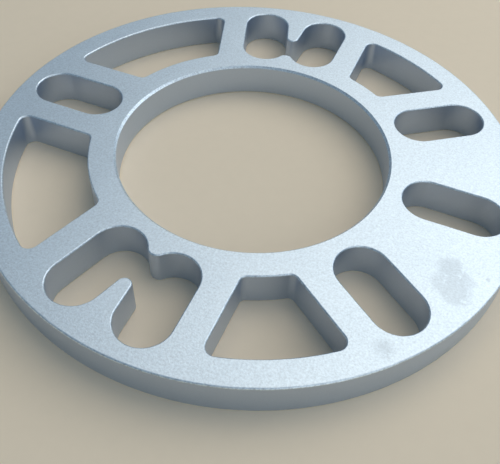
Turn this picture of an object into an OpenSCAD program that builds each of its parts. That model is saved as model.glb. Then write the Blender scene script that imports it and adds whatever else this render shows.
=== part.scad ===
// Universal wheel spacer: one cast aluminium disc, clamped between a hub and a road wheel.
// It takes four-stud and five-stud hubs on any bolt circle that its slots reach.
// The origin is the centre of the hub-side face, +Z runs along the axle,
// and +X runs through the slot that both stud layouts share.

/* [Disc] */
// Outside diameter of the disc
outer_d = 149; // [138:0.5:170]
// Thickness that the spacer adds between hub and wheel
thickness = 10; // [5:0.5:25]
// Diameter of the centre bore that clears the hub
bore_d = 76; // [62:0.5:84]
// Chamfer on both edges of the bore
bore_chamfer = 0.6; // [0.3:0.1:2]
// Radius on both edges of the rim
rim_round = 0.5; // [0.2:0.1:2]

/* [Stud slots] */
// Width of a slot, a running clearance over the stud
slot_w = 14; // [12:0.1:15]
// Wall left between a slot and the bore
slot_bore_wall = 5; // [3:0.1:7]
// Wall left between a slot and the rim
slot_rim_wall = 4.5; // [3:0.1:8]
// Share of a slot's length along which twin slots open into each other
twin_opening = 0.48; // [0.4:0.01:0.6]
// Radius of the bump that stands between twin slots at the bore
bump_round = 2.4; // [1.8:0.1:3]

/* [Windows] */
// Wall left between a window and the slot beside it
window_web = 8; // [5:0.1:10]
// Wall left between a window and the rim
window_rim_wall = 7.1; // [4:0.1:12]
// Wall left between a window and the bore
window_bore_wall = 7.6; // [4:0.1:12]
// Corner radius beside the rim
window_rim_corner = 2.4; // [1:0.1:5]
// Corner radius beside the bore
window_bore_corner = 2; // [0.5:0.1:3]

/* [Edges] */
// Radius on the edges of every slot and window
cast_round = 0.6; // [0.2:0.1:1]

/* [Hidden] */
$fn = 96;

// Facets across a cast edge
edge_steps = 2;
// How far a cutter runs past each face, and how much its edge widens there
overcut = 0.1;
overcut_flare = rounded(overcut / tan(45 / edge_steps));
// How far a wall stands inside the round that it runs into
blend = 0.005;
// How far neighbouring pieces of a cut overlap where such a wall and its round meet
lap = 0.05;

slot_r = slot_w / 2;
// Radii of the middles of a slot's two end rounds
slot_from = bore_d / 2 + slot_bore_wall + slot_r;
slot_to = outer_d / 2 - slot_rim_wall - slot_r;

window_from = bore_d / 2 + window_bore_wall;
window_to = outer_d / 2 - window_rim_wall;
// Distance from a slot's centre line to the window wall beside it
window_offset = slot_r + window_web;

// Stud angles of the two layouts, which share the slot at 0
five_stud = [for (i = [0:4]) i * 360 / 5];
four_stud = [for (i = [0:3]) i * 360 / 4];
// Slots that stand by themselves
single_slots = [five_stud[0], five_stud[2], four_stud[2], five_stud[3]];
// Neighbouring slots that open into each other
twin_spans = [[five_stud[1], four_stud[1]], [four_stud[3], five_stud[4]]];
// Neighbouring slots with a window between them
window_spans = [
    [five_stud[0], five_stud[1]],
    [four_stud[1], five_stud[2]],
    [five_stud[3], four_stud[3]],
    [five_stud[4], 360]
];

function polar(r, angle) = r * [cos(angle), sin(angle)];

// A length in whole micrometres
function rounded(x) = round(x * 1000) / 1000;

// Outline of a wall with the rounded edge at both faces, from the lower face to the upper one.
// out is 1 where the cut lies short of the wall and -1 where it lies beyond the wall.
function wall_line(wall, out) =
    let (
        mouth = wall + out * (cast_round + overcut_flare),
        turns = [for (i = [1:edge_steps]) 90 * i / edge_steps],
        edge = [
            for (a = turns)
                [wall + out * rounded(cast_round * (1 - sin(a))), rounded(cast_round * (1 - cos(a)))]
        ]
    )
    concat(
        [[mouth, -overcut]],
        edge,
        [for (i = [edge_steps - 1:-1:0]) [edge[i].x, thickness - edge[i].y]],
        [[mouth, thickness + overcut]]
    );

// Section of a cut, from a plane inside it to its wall
function wall_section(plane, wall, out) =
    concat([[plane, -overcut]], wall_line(wall, out), [[plane, thickness + overcut]]);

// Curved wall of a cut about the Z axis, from angle 0
module arc_cut(plane, wall, angle, out) {
    rotate_extrude(angle = angle) polygon(wall_section(plane, wall, out));
}

// Round end or corner of a cut, between two angles
module round_cut(r, from = -90, to = 90) {
    rotate([0, 0, from]) arc_cut(0, r, to - from, 1);
}

// Round post that stays standing in a cut
module post(r) {
    rotate_extrude() polygon(wall_section(0, r, -1));
}

// Straight length of a cut, along +X from one place to another
module straight_cut(plane, wall, from, to, out) {
    translate([from, 0, 0])
        rotate([90, 0, 90])
            linear_extrude(to - from)
                polygon(wall_section(plane, wall, out));
}

// Middle of a cut, clear of its walls
module core_cut(points) {
    translate([0, 0, -overcut])
        linear_extrude(thickness + 2 * overcut)
            polygon(points);
}

// Plain ring with its bore chamfered and its rim rounded
module blank() {
    bore_r = bore_d / 2;
    chamfer_r = bore_r + bore_chamfer;
    round_r = outer_d / 2 - rim_round;
    rotate_extrude($fn = 180) {
        polygon([
            [bore_r, bore_chamfer],
            [chamfer_r, 0],
            [round_r, 0],
            [round_r, thickness],
            [chamfer_r, thickness],
            [bore_r, thickness - bore_chamfer]
        ]);
        translate([chamfer_r, rim_round])
            square([outer_d / 2 - chamfer_r, thickness - 2 * rim_round]);
        for (z = [rim_round, thickness - rim_round])
            translate([round_r, z]) circle(rim_round);
    }
}

// One stud slot along +X. On its -Y side the end round stops at end_turn and the wall
// starts at wall_from, because a twin slot can open into it there.
module slot_cut(end_turn = 270, wall_from = slot_from) {
    translate([slot_from, 0, 0]) round_cut(slot_r, 90, end_turn);
    translate([slot_to, 0, 0]) round_cut(slot_r);
    straight_cut(0, slot_r, slot_from, slot_to, 1);
    straight_cut(0, -slot_r, wall_from, slot_to, -1);
}

// Two slots that open into each other, centred on +X. The tongue from the rim and the bump
// from the bore end in full rounds that run smoothly into the slot walls.
module twin_cut(half_angle) {
    slot_end = polar(slot_from, half_angle);
    bump = [slot_end.x - sqrt((slot_r + bump_round) ^ 2 - slot_end.y ^ 2), 0];
    to_bump = bump - slot_end;
    // Where the tongue's round meets a slot, along that slot's centre line
    tongue_wall = slot_from + twin_opening * (slot_to - slot_from);
    tongue = [tongue_wall / cos(half_angle), 0];
    tongue_round = tongue_wall * tan(half_angle) - slot_r;
    // Corners of the opening, past the slot's centre line
    bore_side = slot_end - [lap, 0] - to_bump / 5;
    rim_side = tongue + [lap, 0] + (polar(tongue_wall, half_angle) - tongue) * 1.2;

    for (side = [0, 1])
        mirror([0, side, 0])
            rotate([0, 0, half_angle])
                slot_cut(360 + atan2(to_bump.y, to_bump.x) - half_angle, tongue_wall);
    difference() {
        core_cut([
            bump - [lap, 0],
            [bore_side.x, -bore_side.y],
            [rim_side.x, -rim_side.y],
            tongue + [lap, 0],
            rim_side,
            bore_side
        ]);
        translate(bump) post(bump_round + blend);
        translate(tongue) post(tongue_round + blend);
    }
}

// Half of a window, from the slot at angle 0 to just past the middle of span.
// from and to are the radii of its curved walls.
module half_window_cut(span, from, to) {
    middle_r = (from + to) / 2;
    // Middles of the two corner rounds
    bore_corner_r = from + window_bore_corner;
    bore_turn = asin((window_offset + window_bore_corner) / bore_corner_r);
    rim_corner_r = to - window_rim_corner;
    rim_turn = asin((window_offset + window_rim_corner) / rim_corner_r);
    past_middle = span / 2 + 1;

    rotate([0, 0, bore_turn]) {
        arc_cut(middle_r, from, past_middle - bore_turn, -1);
        translate([bore_corner_r, 0, 0]) round_cut(window_bore_corner, 180, 360);
    }
    rotate([0, 0, rim_turn]) {
        arc_cut(middle_r, to, past_middle - rim_turn, 1);
        translate([rim_corner_r, 0, 0]) round_cut(window_rim_corner, 180, 360);
    }
    straight_cut(
        window_offset + window_rim_corner + window_bore_corner,
        window_offset + blend,
        bore_corner_r * cos(bore_turn) + lap,
        rim_corner_r * cos(rim_turn) - lap,
        -1
    );
    core_cut([
        polar(bore_corner_r + window_bore_corner / 2, bore_turn),
        polar(rim_corner_r - window_rim_corner / 2, rim_turn),
        polar(middle_r, past_middle)
    ]);
}

// One window, from the slot at angle 0 to the slot at angle span
module window_cut(span) {
    half_window_cut(span, window_from, window_to);
    rotate([0, 0, span])
        mirror([0, 1, 0])
            half_window_cut(span, window_from + blend, window_to - blend);
}

// The whole spacer
module spacer_disc() {
    color("silver")
        difference() {
            blank();
            for (angle = single_slots)
                rotate([0, 0, angle]) slot_cut();
            for (span = twin_spans)
                rotate([0, 0, (span[0] + span[1]) / 2]) twin_cut((span[1] - span[0]) / 2);
            for (span = window_spans)
                rotate([0, 0, span[0]]) window_cut(span[1] - span[0]);
        }
}

spacer_disc();
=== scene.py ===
"""Wheel spacer: a cast aluminium disc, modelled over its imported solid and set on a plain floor."""

import math
from collections import namedtuple

import bpy
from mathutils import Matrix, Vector


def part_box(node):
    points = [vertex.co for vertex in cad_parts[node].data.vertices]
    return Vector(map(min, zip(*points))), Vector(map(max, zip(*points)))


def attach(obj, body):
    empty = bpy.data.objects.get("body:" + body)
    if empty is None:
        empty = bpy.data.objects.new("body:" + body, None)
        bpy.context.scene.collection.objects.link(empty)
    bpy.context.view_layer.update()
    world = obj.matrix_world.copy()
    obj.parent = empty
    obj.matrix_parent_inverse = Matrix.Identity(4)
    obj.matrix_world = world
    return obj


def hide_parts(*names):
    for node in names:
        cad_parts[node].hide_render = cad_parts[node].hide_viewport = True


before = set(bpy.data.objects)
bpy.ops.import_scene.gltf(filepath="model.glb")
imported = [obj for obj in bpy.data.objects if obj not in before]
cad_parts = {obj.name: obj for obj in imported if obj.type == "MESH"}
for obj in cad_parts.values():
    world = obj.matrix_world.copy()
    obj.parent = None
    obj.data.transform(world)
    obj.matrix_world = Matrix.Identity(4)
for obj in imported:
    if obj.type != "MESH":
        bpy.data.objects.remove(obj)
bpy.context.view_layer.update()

bl_info = {
    "name": "Wheel Spacer",
    "version": (1, 0, 0),
    "blender": (4, 5, 0),
    "location": "View3D > Sidebar > Spacer",
    "description": "Models a cast aluminium wheel spacer with stud slots, twin slots and windows",
    "category": "Add Mesh",
}

DISC_LOW, DISC_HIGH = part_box("spacer_disc")

# Where the axle meets the hub-side face, which lies on the floor.
AXLE = Vector((0, 0, 0))
FULL_TURN = 360
# Turn that stands a new plane up on the X axis.
UPRIGHT = (math.pi / 2, 0, 0)

# Stud angles in degrees of the two layouts, which share the slot at 0.
FIVE_STUDS = range(0, FULL_TURN, FULL_TURN // 5)
FOUR_STUDS = range(0, FULL_TURN, FULL_TURN // 4)
SINGLE_SLOTS = (FIVE_STUDS[0], FIVE_STUDS[2], FOUR_STUDS[2], FIVE_STUDS[3])
# First and last slot angle of each pair of twin slots and of each window.
TWIN_SPANS = ((FIVE_STUDS[1], FOUR_STUDS[1]), (FOUR_STUDS[3], FIVE_STUDS[4]))
WIDE_WINDOWS = ((FIVE_STUDS[0], FIVE_STUDS[1]), (FIVE_STUDS[4], FULL_TURN))
NARROW_WINDOWS = ((FOUR_STUDS[1], FIVE_STUDS[2]), (FIVE_STUDS[3], FOUR_STUDS[3]))

# Fineness of the mesh: steps round the ring and across a rounded edge, the fewest steps of a
# turn, and about the longest step along a hole's wall, in degrees and in metres.
RING_STEPS = 320
EDGE_STEPS = 6
FEWEST_TURN_STEPS = 3
TURN_STEP = 7.5
WALL_STEP = 0.00144

# Shares of a hole's edge radius: how deep under the face the round starts, so that it runs out
# through the face, how far the cutter's mouth flares past it, and how deep the wear goes.
ROUND_DEPTH = 0.91
MOUTH_FLARE = 0.5
WEAR_DEPTH = 0.9
WEAR_SEED = 4

# Point on no line of symmetry, from which vertices are put in order.
ORDER_FROM = (0.0917, 0.0531, 0.0673)

# Distances in metres under which points count as one, or as lying on a face.
PLACED_EXACT = 0.000001
CUT_MERGE = 0.000002
SWEEP_MERGE = 0.00001
ON_FACE = 0.00001

# Edges that turn by fewer degrees are shaded smooth, and the largest face sets a corner's normal.
SMOOTH_ANGLE = 40
LARGEST_FACE = 100

# Sockets of a colour mix, whose names repeat: the factor and both colours, and the result.
MIX_INPUTS = (0, 6, 7)
MIX_RESULT = 2

# Upright part of the normal over which a wall becomes an edge, and an edge a face.
WALL_TO_EDGE = (0.05, 0.35)
EDGE_TO_FACE = (0.80, 0.97)

# Noise patterns, from 0 to 1. The offset keeps them from repeating each other.
Pattern = namedtuple("Pattern", "size detail roughness offset", defaults=[(0, 0, 0)])
NOISE_MIDDLE = 0.5
# Patterns in the metal whose sizes are shares of the blasted grain.
GRAIN = Pattern(size=1.0, detail=3, roughness=0.6)
FLECK = Pattern(size=1.3, detail=2, roughness=0.6, offset=(0.3, 0.1, 0.2))
SAND = Pattern(size=2.4, detail=3, roughness=0.6, offset=(0.1, 0.4, 0.3))
# Patterns whose sizes are in metres: in the metal, in its marks and in the floor.
MOTTLE = Pattern(size=0.012, detail=4, roughness=0.6)
CLOUD = Pattern(size=0.045, detail=2, roughness=0.5, offset=(0.2, 0.5, 0.1))
RAGGED = Pattern(size=0.006, detail=3, roughness=0.55)
BARE = Pattern(size=0.0015, detail=2, roughness=0.5)
FIBRE = Pattern(size=0.004, detail=3, roughness=0.6)

# How much the patterns lighten or darken the metal.
MOTTLE_TONE = 0.04
CLOUD_TONE = 0.05
SAND_TONE = 0.22
FACE_FLECK_TONE = 0.42
EDGE_FLECK_TONE = 1.1
WALL_FLECK_TONE = 0.06
# How much they change the roughness.
GRAIN_ROUGHNESS = 0.22
MOTTLE_ROUGHNESS = 0.08
# Strength and depth of the relief, and the share that each pattern has in it.
RELIEF_STRENGTH = 0.42
RELIEF_DEPTH = 0.0001
FACE_GRAIN = 0.6
WALL_GRAIN = 0.4
SAND_RELIEF = 0.5
MOTTLE_RELIEF = 0.3

# Grey marks on the wheel face. Each lies round its points, whole up to a mean distance of core
# and gone past reach.
Mark = namedtuple("Mark", "points core reach strength")
WIDE_MARK = Mark(
    points=((-0.0590, 0.0192), (-0.0628, 0.0292)), core=0.0060, reach=0.0079, strength=0.50
)
SMALL_MARK = Mark(
    points=((-0.0492, 0.0476), (-0.0518, 0.0495)), core=0.0012, reach=0.0036, strength=0.52
)
SPECK = Mark(points=((-0.0685, 0.0203),), core=0.0002, reach=0.0008, strength=0.55)
# Most that a mark covers, how far its outline strays, the levels of noise between which it gets
# bare spots, and how bare these are.
MARK_COVER = 0.7
RAGGED_DEPTH = 0.005
BARE_LEVELS = (0.60, 0.68)
BARE_SHARE = 0.8

# Matt card of the floor.
FLOOR_WIDTH = 4
FIBRE_TONE = 0.04
FLOOR_ROUGHNESS = 0.85
FLOOR_SHINE = 0.2

# Soft boxes, which look at the middle of the disc.
Lamp = namedtuple("Lamp", "name place width tint")
KEY_LAMP = Lamp("key", place=(-0.158, -0.422, 0.72), width=0.98, tint=(1.0, 0.95, 0.87))
FILL_LAMP = Lamp("fill", place=(-0.58, -0.52, 0.35), width=0.85, tint=(0.78, 0.89, 1.0))
FRONT_LAMP = Lamp("front", place=(-0.60, 0.48, 0.38), width=0.6, tint=(0.94, 0.97, 1.0))

# Camera: place and nearest distance in metres, turn in degrees, lens and sensor in millimetres.
CAMERA_PLACE = (-0.047909, 0.128707, 0.130662)
CAMERA_TURN = (41.1066, -2.1302, -157.3278)
CAMERA_LENS = 46.6346
CAMERA_SENSOR = 36
CAMERA_CLIP = 0.005


def length(name, description, default):
    """A length that a user can change."""
    return bpy.props.FloatProperty(
        name=name,
        description=description,
        default=default,
        min=0,
        precision=5,
        subtype="DISTANCE",
        unit="LENGTH",
    )


def colour(name, description, default):
    """A colour that a user can change."""
    return bpy.props.FloatVectorProperty(
        name=name,
        description=description,
        default=default,
        min=0,
        max=1,
        size=3,
        subtype="COLOR",
    )


def share(name, description, default):
    """A number from 0 to 1 that a user can change."""
    return bpy.props.FloatProperty(
        name=name, description=description, default=default, min=0, max=1, subtype="FACTOR"
    )


def power(name, description, default):
    """A lamp's power in watts that a user can change."""
    return bpy.props.FloatProperty(
        name=name, description=description, default=default, min=0, subtype="POWER", unit="POWER"
    )


class SpacerSizes(bpy.types.PropertyGroup):
    """Sizes of the casting."""

    outer_d: length("Outside", "Outside diameter of the disc", DISC_HIGH.x - DISC_LOW.x)
    thickness: length("Thickness", "Thickness of the disc", DISC_HIGH.z - DISC_LOW.z)
    bore_d: length("Bore", "Diameter of the centre bore", 0.076)
    bore_chamfer: length("Bore chamfer", "Chamfer on both edges of the bore", 0.0006)
    rim_round: length("Rim edge", "Radius on both edges of the rim", 0.0005)
    slot_w: length("Slot width", "Width of a stud slot", 0.014)
    slot_bore_wall: length("Slot to bore", "Wall between a slot and the bore", 0.005)
    slot_rim_wall: length("Slot to rim", "Wall between a slot and the rim", 0.0045)
    twin_opening: share("Twin opening", "Share of a slot open to its twin", 0.48)
    bump_round: length("Bump", "Radius of the bump between twin slots", 0.0024)
    window_web: length("Window web", "Wall between a window and a slot", 0.008)
    window_rim_wall: length("Window to rim", "Wall between a window and the rim", 0.0071)
    window_bore_wall: length("Window to bore", "Wall between a window and the bore", 0.0076)
    rim_corner: length("Rim corner", "Window corner radius beside the rim", 0.0024)
    bore_corner: length("Bore corner", "Window corner radius beside the bore", 0.002)
    cast_round: length("Hole edge", "Radius on the edges of slots and windows", 0.0006)
    edge_wear: length("Edge wear", "Unevenness of the cast edges", 0.00004)


class CastFinish(bpy.types.PropertyGroup):
    """Look of the cast aluminium."""

    face: colour("Face", "Blasted aluminium of the two faces", (0.75, 0.84, 0.91))
    # The wall colour is partly the cast skin and partly painted shade and painted reflection. It is
    # darker and bluer than the face to stand in for the shade and reflections in the rim, the bore
    # and the holes.
    wall: colour("Wall", "Cast skin of the rim, the bore and the holes", (0.54, 0.63, 0.76))
    smudge: colour("Smudge", "Grey handling marks on the wheel face", (0.40, 0.45, 0.49))
    face_roughness: share("Face roughness", "Roughness of the faces", 0.5)
    wall_roughness: share("Wall roughness", "Roughness of the cast skin", 0.42)
    grain: length("Grain", "Size of the blasted grain", 0.0004)


class StudioLook(bpy.types.PropertyGroup):
    """Floor and light."""

    floor: colour("Floor", "Plain pale floor", (0.90, 0.76, 0.58))
    sky: colour("Sky", "Soft light from all round", (0.52, 0.70, 0.88))
    sky_level: share("Sky level", "Strength of the light from all round", 0.34)
    key_power: power("Key power", "Power of the large lamp", 3.8)
    fill_power: power("Fill power", "Power of the side lamp", 1.5)
    front_power: power("Front power", "Power of the lamp on the camera's side", 1.1)


def deselect():
    """Leaves nothing selected in object mode."""
    if bpy.context.object and bpy.context.object.mode != "OBJECT":
        bpy.ops.object.mode_set(mode="OBJECT")
    bpy.ops.object.select_all(action="DESELECT")


def choose(*objects):
    """Selects only these objects, in object mode, and makes the first one active."""
    deselect()
    for obj in objects:
        obj.select_set(True)
    bpy.context.view_layer.objects.active = objects[0]


def apply_place():
    """Puts the active object's place into its mesh."""
    bpy.ops.object.transform_apply(location=True, rotation=True, scale=True)


def edit():
    """Starts work on the mesh of the active object."""
    bpy.ops.object.mode_set(mode="EDIT")


def done():
    """Ends work on the mesh of the active object."""
    bpy.ops.object.mode_set(mode="OBJECT")


def pick_all():
    """In edit mode, selects the whole mesh."""
    bpy.ops.mesh.select_all(action="SELECT")


def pick(vertex_test):
    """In edit mode, selects only the vertices that pass the test, and what joins them."""
    bpy.ops.mesh.select_mode(type="VERT")
    bpy.ops.mesh.select_all(action="DESELECT")
    done()
    for vertex in bpy.context.object.data.vertices:
        vertex.select = vertex_test(vertex.co)
    edit()
    bpy.ops.mesh.select_mode(type="VERT")


def spin(centre, angle, steps, axis=(0, 0, 1)):
    """Sweeps the selection round an axis, right-handed, in degrees."""
    bpy.ops.mesh.spin(
        steps=steps, angle=-math.radians(angle), center=centre, axis=axis, use_auto_merge=False
    )


def close_sweep():
    """Joins the end of a sweep to its start."""
    pick_all()
    bpy.ops.mesh.remove_doubles(threshold=SWEEP_MERGE)


def face_outwards():
    """Turns every face of a closed mesh outwards and ends the work on it."""
    pick_all()
    bpy.ops.mesh.normals_make_consistent(inside=False)
    done()


def polar(r, angle):
    """The point at that radius and angle in degrees round the axle."""
    return Vector((r * math.cos(math.radians(angle)), r * math.sin(math.radians(angle)), 0))


class HoleCutter:
    """A cutter for one hole. Its upright wall, with the rounds of both edges, starts at a point
    on the outline where the metal lies towards -Y, and is swept round the outline."""

    def __init__(self, name, sizes, start):
        self.sizes = sizes
        round_r = sizes.cast_round
        low = round_r * ROUND_DEPTH
        high = sizes.thickness - low
        wall_height = high - low
        flare = MOUTH_FLARE * round_r
        deselect()
        bpy.ops.mesh.primitive_plane_add(
            size=wall_height,
            rotation=UPRIGHT,
            location=start + Vector((-wall_height / 2, 0, sizes.thickness / 2)),
        )
        self.obj = bpy.context.object
        self.obj.name = name
        apply_place()
        edit()
        pick(lambda co: co.x < start.x - PLACED_EXACT)
        bpy.ops.mesh.delete(type="VERT")
        for z, way in ((low, -1), (high, 1)):
            pick(lambda co: abs(co.z - z) < PLACED_EXACT)
            spin(start + Vector((0, -round_r, z)), 90 * way, EDGE_STEPS, (1, 0, 0))
            bpy.ops.mesh.extrude_region_move(
                TRANSFORM_OT_translate={"value": (0, -flare, flare * way)}
            )
        pick_all()

    def turn(self, centre, angle, radius):
        """Sweeps the wall round an upright line through centre."""
        by_angle = round(abs(angle) / TURN_STEP)
        by_length = round(abs(math.radians(angle)) * radius / WALL_STEP)
        spin(centre, angle, max(FEWEST_TURN_STEPS, by_angle, by_length))

    def run(self, way):
        """Sweeps the wall along a straight line."""
        steps = max(1, round(way.length / WALL_STEP))
        bpy.ops.mesh.extrude_repeat(steps=steps, offset=way / steps)

    def close(self):
        """Joins the last wall to the first, and caps both mouths."""
        close_sweep()
        top = self.sizes.thickness
        past_face = MOUTH_FLARE / 2 * self.sizes.cast_round
        for mouth in (lambda co: co.z < -past_face, lambda co: co.z > top + past_face):
            pick(mouth)
            bpy.ops.mesh.edge_face_add()
        face_outwards()
        return self.obj


def copies(obj, angles):
    """Turns the cutter to the first angle and a copy of it to each other angle."""
    made = [obj]
    for _ in angles[1:]:
        choose(obj)
        bpy.ops.object.duplicate(linked=False)
        made.append(bpy.context.object)
    for piece, angle in zip(made, angles):
        choose(piece)
        piece.rotation_euler.z = math.radians(angle)
        apply_place()
    return made


def slot_places(sizes):
    """Half the slot width, and the radii of the middles of a slot's two end rounds."""
    r = sizes.slot_w / 2
    near = sizes.bore_d / 2 + sizes.slot_bore_wall + r
    far = sizes.outer_d / 2 - sizes.slot_rim_wall - r
    return r, near, far


def slot_cutter(sizes):
    """One stud slot along +X."""
    r, near, far = slot_places(sizes)
    cutter = HoleCutter("slot_cutter", sizes, Vector((near, -r, 0)))
    cutter.run(Vector((far - near, 0, 0)))
    cutter.turn(Vector((far, 0, 0)), 180, r)
    cutter.run(Vector((near - far, 0, 0)))
    cutter.turn(Vector((near, 0, 0)), 180, r)
    return cutter.close()


def twin_cutter(sizes, span):
    """Two slots that open into each other, the first along +X and the second at the angle span.
    Between them the tongue stands at the rim and the bump at the bore."""
    r, near, far = slot_places(sizes)
    half = math.radians(span / 2)
    first = polar(1, 0)
    middle = polar(1, span / 2)
    second = polar(1, span)
    # The bump touches both end rounds
    across = near * math.sin(half)
    reach = math.sqrt((r + sizes.bump_round) ** 2 - across**2)
    bump = middle * (near * math.cos(half) - reach)
    bump_turn = 2 * math.degrees(math.atan2(across, reach))
    # From a slot's outer wall round its end to the bump
    to_bump = bump - second * near
    end_turn = math.degrees(math.atan2(to_bump.y, to_bump.x)) + FULL_TURN - span - 90
    # The tongue's round runs into both inner walls
    tongue_wall = near + sizes.twin_opening * (far - near)
    tongue = middle * (tongue_wall / math.cos(half))
    tongue_round = tongue_wall * math.tan(half) - r

    cutter = HoleCutter("twin_cutter", sizes, Vector((near, -r, 0)))
    cutter.run(first * (far - near))
    cutter.turn(first * far, 180, r)
    cutter.run(first * (tongue_wall - far))
    cutter.turn(tongue, span - 180, tongue_round)
    cutter.run(second * (far - tongue_wall))
    cutter.turn(second * far, 180, r)
    cutter.run(second * (near - far))
    cutter.turn(second * near, end_turn, r)
    cutter.turn(bump, -bump_turn, sizes.bump_round)
    cutter.turn(first * near, end_turn, r)
    return cutter.close()


def window_cutter(sizes, span):
    """One window, between a slot along +X and a slot at the angle span."""
    wall = sizes.slot_w / 2 + sizes.window_web
    # Middles of the corner rounds
    near_r = sizes.bore_d / 2 + sizes.window_bore_wall + sizes.bore_corner
    far_r = sizes.outer_d / 2 - sizes.window_rim_wall - sizes.rim_corner
    near_turn = math.degrees(math.asin((wall + sizes.bore_corner) / near_r))
    far_turn = math.degrees(math.asin((wall + sizes.rim_corner) / far_r))
    near_x = polar(near_r, near_turn).x
    far_x = polar(far_r, far_turn).x

    cutter = HoleCutter("window_cutter", sizes, Vector((near_x, wall, 0)))
    cutter.run(Vector((far_x - near_x, 0, 0)))
    cutter.turn(polar(far_r, far_turn), 90 + far_turn, sizes.rim_corner)
    cutter.turn(AXLE, span - 2 * far_turn, far_r)
    cutter.turn(polar(far_r, span - far_turn), 90 + far_turn, sizes.rim_corner)
    cutter.run(polar(near_x - far_x, span))
    cutter.turn(polar(near_r, span - near_turn), 90 - near_turn, sizes.bore_corner)
    cutter.turn(AXLE, 2 * near_turn - span, near_r)
    cutter.turn(polar(near_r, near_turn), 90 - near_turn, sizes.bore_corner)
    return cutter.close()


def blank(sizes):
    """The plain ring: its section, rounded at the rim and chamfered at the bore, swept once
    round the axle."""
    inner = sizes.bore_d / 2
    outer = sizes.outer_d / 2
    middle = (inner + outer) / 2
    deselect()
    bpy.ops.mesh.primitive_plane_add(
        size=1, rotation=UPRIGHT, location=(middle, 0, sizes.thickness / 2)
    )
    ring = bpy.context.object
    ring.name = "spacer_casting"
    ring.scale = (outer - inner, sizes.thickness, 1)
    apply_place()
    edit()
    for at_side, edge, steps in (
        (lambda co: co.x > middle, sizes.rim_round, EDGE_STEPS),
        (lambda co: co.x <= middle, sizes.bore_chamfer, 1),
    ):
        pick(at_side)
        bpy.ops.mesh.bevel(affect="VERTICES", offset=edge, segments=steps)
    pick_all()
    bpy.ops.mesh.delete(type="ONLY_FACE")
    pick_all()
    spin(AXLE, FULL_TURN, RING_STEPS)
    close_sweep()
    face_outwards()
    return ring


def cut(ring, cutters):
    """Takes the joined cutters out of the ring."""
    choose(*cutters)
    bpy.ops.object.join()
    tool = bpy.context.object
    choose(ring)
    boolean = ring.modifiers.new("holes", "BOOLEAN")
    boolean.operation = "DIFFERENCE"
    boolean.solver = "EXACT"
    boolean.object = tool
    bpy.ops.object.modifier_apply(modifier=boolean.name)
    choose(tool)
    bpy.ops.object.delete()


def order_vertices():
    """Gives the selected vertices an order that is the same each time. A cut leaves them in
    any order, and random moves follow that order."""
    cursor = bpy.context.scene.cursor
    cursor.location = ORDER_FROM
    bpy.ops.mesh.sort_elements(type="CURSOR_DISTANCE", elements={"VERT"})
    cursor.location = AXLE


def wear_edges(ring, sizes):
    """Makes the cast edges slightly uneven and smooths the shading over them."""
    choose(ring)
    edit()
    pick_all()
    bpy.ops.mesh.remove_doubles(threshold=CUT_MERGE)
    pick_all()
    order_vertices()
    depth = WEAR_DEPTH * sizes.cast_round
    top = sizes.thickness
    pick(lambda co: ON_FACE < co.z < depth or ON_FACE < top - co.z < depth)
    bpy.ops.transform.vertex_random(
        offset=sizes.edge_wear, uniform=0, normal=0, seed=WEAR_SEED
    )
    done()
    bpy.ops.object.shade_smooth_by_angle(angle=math.radians(SMOOTH_ANGLE))
    normals = ring.modifiers.new("face normals", "WEIGHTED_NORMAL")
    normals.mode = "FACE_AREA"
    normals.weight = LARGEST_FACE
    normals.keep_sharp = True
    bpy.ops.object.modifier_apply(modifier=normals.name)


class Value:
    """A shader socket that takes part in Python expressions."""

    def __init__(self, finish, socket):
        self.finish = finish
        self.socket = socket

    def _math(self, operation, *values):
        node = self.finish.add("ShaderNodeMath", {"operation": operation}, *values)
        return Value(self.finish, node.outputs[0])

    def __add__(self, other):
        return self._math("ADD", self, other)

    __radd__ = __add__

    def __sub__(self, other):
        return self._math("SUBTRACT", self, other)

    def __rsub__(self, other):
        return self._math("SUBTRACT", other, self)

    def __mul__(self, other):
        return self._math("MULTIPLY", self, other)

    __rmul__ = __mul__

    def __abs__(self):
        return self._math("ABSOLUTE", self)


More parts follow.
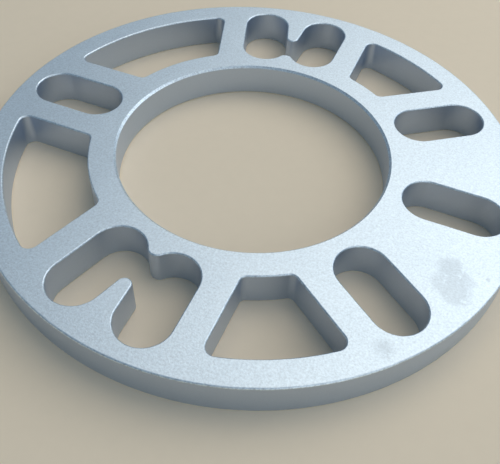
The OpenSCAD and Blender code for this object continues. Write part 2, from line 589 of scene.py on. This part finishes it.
class Finish:
    """The node tree of one material."""

    def __init__(self, name):
        self.material = bpy.data.materials.new(name)
        self.material.use_nodes = True
        self.tree = self.material.node_tree
        self.shader = self.tree.nodes["Principled BSDF"]
        self.place = self.add("ShaderNodeTexCoord")

    def add(self, kind, settings=None, *values, **named):
        """Adds a node, makes its settings and then fills its sockets, in order or by name."""
        node = self.tree.nodes.new(kind)
        for key, setting in (settings or {}).items():
            setattr(node, key, setting)
        for key, value in [*enumerate(values), *named.items()]:
            self.feed(node.inputs[key], value)
        return node

    def feed(self, socket, value):
        """Links a socket to a value of the tree, or sets it."""
        if isinstance(value, Value):
            self.tree.links.new(value.socket, socket)
        elif isinstance(value, bpy.types.NodeSocket):
            self.tree.links.new(value, socket)
        else:
            socket.default_value = value

    def noise(self, pattern, unit=1.0):
        """A noise pattern. Its size is a share of unit."""
        moved = self.add("ShaderNodeMapping", None, self.place.outputs["Object"], pattern.offset)
        node = self.add(
            "ShaderNodeTexNoise",
            None,
            Vector=moved.outputs[0],
            Scale=1 / (pattern.size * unit),
            Detail=pattern.detail,
            Roughness=pattern.roughness,
        )
        return Value(self, node.outputs[0])

    def ramp(self, value, start, end):
        """Goes smoothly from 0 at start to 1 at end, which may be the lower of the two."""
        node = self.add(
            "ShaderNodeMapRange",
            {"interpolation_type": "SMOOTHSTEP"},
            Value=value,
            **{"From Min": start, "From Max": end},
        )
        return Value(self, node.outputs[0])

    def spot(self, mark, height, ragged=0.0):
        """How strongly a mark at that height shows. Two points give it a long shape, and ragged
        moves its outline."""
        mean = ragged
        for point in mark.points:
            node = self.add(
                "ShaderNodeVectorMath",
                {"operation": "DISTANCE"},
                self.place.outputs["Object"],
                (*point, height),
            )
            mean = Value(self, node.outputs["Value"]) * (1 / len(mark.points)) + mean
        return self.ramp(mean, mark.reach, mark.core) * mark.strength

    def mix(self, factor, a, b):
        """Goes from colour a to colour b."""
        node = self.add("ShaderNodeMix", {"data_type": "RGBA"})
        for place, value in zip(MIX_INPUTS, (factor, a, b)):
            self.feed(node.inputs[place], value)
        return node.outputs[MIX_RESULT]

    def lighten(self, tone, colour):
        """Makes a colour lighter where tone is over 1 and darker where it is under 1."""
        node = self.add("ShaderNodeHueSaturation", None, Value=tone, Color=colour)
        return node.outputs[0]


def handling_marks(finish, height):
    """Two grey smudges with ragged outlines and bare spots, and one dark speck."""
    ragged = (finish.noise(RAGGED) - NOISE_MIDDLE) * RAGGED_DEPTH
    smudges = finish.spot(WIDE_MARK, height, ragged) + finish.spot(SMALL_MARK, height, ragged)
    bare = finish.ramp(finish.noise(BARE), *BARE_LEVELS)
    return smudges * (1.0 - bare * BARE_SHARE) + finish.spot(SPECK, height)


def cast_aluminium(look, sizes):
    """Blasted faces, smoother cast skin on the walls with painted shade and reflection in their
    colour, edges in the lighter face colour as painted light, and grey handling marks.
    """
    finish = Finish("cast_aluminium")
    shader = finish.shader
    normal = finish.add("ShaderNodeSeparateXYZ", None, finish.place.outputs["Normal"])
    upright = abs(Value(finish, normal.outputs["Z"]))
    face = finish.ramp(upright, *EDGE_TO_FACE)
    edge = finish.ramp(upright, *WALL_TO_EDGE) * (1.0 - face)

    grain = finish.noise(GRAIN, look.grain)
    fleck = finish.noise(FLECK, look.grain)
    sand = finish.noise(SAND, look.grain)
    mottle = finish.noise(MOTTLE)
    cloud = finish.noise(CLOUD)

    tone = (mottle - NOISE_MIDDLE) * MOTTLE_TONE + (cloud - NOISE_MIDDLE) * CLOUD_TONE
    tone = tone + (sand - NOISE_MIDDLE) * face * SAND_TONE
    fleck_tone = face * FACE_FLECK_TONE + edge * EDGE_FLECK_TONE + WALL_FLECK_TONE
    tone = tone + (fleck - NOISE_MIDDLE) * fleck_tone
    # Painted shade and light: the walls get the darker, bluer wall colour as painted shade and
    # reflection, and the edge rounds and chamfers get the lighter face colour as painted light that
    # lifts the shade on them.
    metal_with_painted_shade = finish.mix(face + edge, (*look.wall, 1), (*look.face, 1))
    metal = finish.lighten(tone + 1.0, metal_with_painted_shade)
    marks = handling_marks(finish, sizes.thickness) * face * MARK_COVER
    finish.feed(shader.inputs["Base Color"], finish.mix(marks, metal, (*look.smudge, 1)))

    rough = face * (look.face_roughness - look.wall_roughness) + look.wall_roughness
    rough = rough + (grain - NOISE_MIDDLE) * GRAIN_ROUGHNESS
    rough = rough + (mottle - NOISE_MIDDLE) * MOTTLE_ROUGHNESS
    finish.feed(shader.inputs["Roughness"], rough)
    shader.inputs["Metallic"].default_value = 1.0

    height = grain * (face * FACE_GRAIN + edge + WALL_GRAIN)
    height = height + sand * face * SAND_RELIEF + mottle * MOTTLE_RELIEF
    relief = finish.add(
        "ShaderNodeBump",
        None,
        Strength=RELIEF_STRENGTH,
        Distance=RELIEF_DEPTH,
        Height=height,
    )
    finish.feed(shader.inputs["Normal"], relief.outputs[0])
    return finish.material


class SPACER_OT_casting(bpy.types.Operator):
    """Models the one-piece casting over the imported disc"""

    bl_idname = "spacer.casting"
    bl_label = "Model the casting"

    def execute(self, context):
        sizes = context.scene.spacer_sizes
        look = context.scene.spacer_finish
        ring = blank(sizes)
        cutters = copies(slot_cutter(sizes), SINGLE_SLOTS)
        for make_cutter, spans in (
            (twin_cutter, TWIN_SPANS),
            (window_cutter, WIDE_WINDOWS),
            (window_cutter, NARROW_WINDOWS),
        ):
            span = spans[0][1] - spans[0][0]
            cutters += copies(make_cutter(sizes, span), [first for first, _ in spans])
        cut(ring, cutters)
        wear_edges(ring, sizes)
        ring.data.materials.clear()
        ring.data.materials.append(cast_aluminium(look, sizes))
        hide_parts("spacer_disc")
        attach(ring, "root")
        return {"FINISHED"}


def plain_floor(look):
    """Plain matt card."""
    finish = Finish("plain_floor")
    tone = (finish.noise(FIBRE) - NOISE_MIDDLE) * FIBRE_TONE
    card = finish.lighten(tone + 1.0, (*look.floor, 1))
    finish.feed(finish.shader.inputs["Base Color"], card)
    finish.shader.inputs["Roughness"].default_value = FLOOR_ROUGHNESS
    finish.shader.inputs["Specular IOR Level"].default_value = FLOOR_SHINE
    return finish.material


def soft_box(lamp, watts):
    """A square lamp that looks at the middle of the disc."""
    deselect()
    bpy.ops.object.light_add(type="AREA", location=lamp.place)
    light = bpy.context.object
    light.name = lamp.name
    light.data.size = lamp.width
    light.data.energy = watts
    light.data.color = lamp.tint
    way = AXLE - Vector(lamp.place)
    light.rotation_euler = way.to_track_quat("-Z", "Y").to_euler()


class SPACER_OT_stage(bpy.types.Operator):
    """Adds the floor, the soft light and the camera"""

    bl_idname = "spacer.stage"
    bl_label = "Set the stage"

    def execute(self, context):
        look = context.scene.spacer_studio
        deselect()
        bpy.ops.mesh.primitive_plane_add(size=FLOOR_WIDTH, location=AXLE)
        ground = bpy.context.object
        ground.name = "floor"
        ground.data.materials.append(plain_floor(look))

        world = bpy.data.worlds.new("soft_sky")
        context.scene.world = world
        world.use_nodes = True
        sky = world.node_tree.nodes["Background"]
        sky.inputs["Color"].default_value = (*look.sky, 1)
        sky.inputs["Strength"].default_value = look.sky_level

        soft_box(KEY_LAMP, look.key_power)
        soft_box(FILL_LAMP, look.fill_power)
        soft_box(FRONT_LAMP, look.front_power)

        bpy.ops.object.camera_add(
            location=CAMERA_PLACE,
            rotation=[math.radians(angle) for angle in CAMERA_TURN],
        )
        camera = bpy.context.object
        camera.data.lens = CAMERA_LENS
        camera.data.sensor_width = CAMERA_SENSOR
        camera.data.clip_start = CAMERA_CLIP
        context.scene.camera = camera
        context.scene.view_settings.view_transform = "Standard"
        return {"FINISHED"}


class SPACER_PT_panel(bpy.types.Panel):
    """Lists the steps and their sizes, colours and light"""

    bl_label = "Wheel Spacer"
    bl_idname = "SPACER_PT_panel"
    bl_space_type = "VIEW_3D"
    bl_region_type = "UI"
    bl_category = "Spacer"

    def draw(self, context):
        for step, groups in (
            (SPACER_OT_casting, (context.scene.spacer_sizes, context.scene.spacer_finish)),
            (SPACER_OT_stage, (context.scene.spacer_studio,)),
        ):
            column = self.layout.column()
            column.operator(step.bl_idname)
            for group in groups:
                for name in group.__annotations__:
                    column.prop(group, name)


CLASSES = (
    SpacerSizes,
    CastFinish,
    StudioLook,
    SPACER_OT_casting,
    SPACER_OT_stage,
    SPACER_PT_panel,
)


def register():
    """Adds the classes and the scene's sizes, finish and light."""
    for cls in CLASSES:
        bpy.utils.register_class(cls)
    bpy.types.Scene.spacer_sizes = bpy.props.PointerProperty(type=SpacerSizes)
    bpy.types.Scene.spacer_finish = bpy.props.PointerProperty(type=CastFinish)
    bpy.types.Scene.spacer_studio = bpy.props.PointerProperty(type=StudioLook)


def unregister():
    """Takes away what register adds."""
    del bpy.types.Scene.spacer_studio
    del bpy.types.Scene.spacer_finish
    del bpy.types.Scene.spacer_sizes
    for cls in reversed(CLASSES):
        bpy.utils.unregister_class(cls)


def main():
    """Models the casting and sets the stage."""
    register()
    bpy.ops.spacer.casting()
    bpy.ops.spacer.stage()


if __name__ == "__main__":
    main()
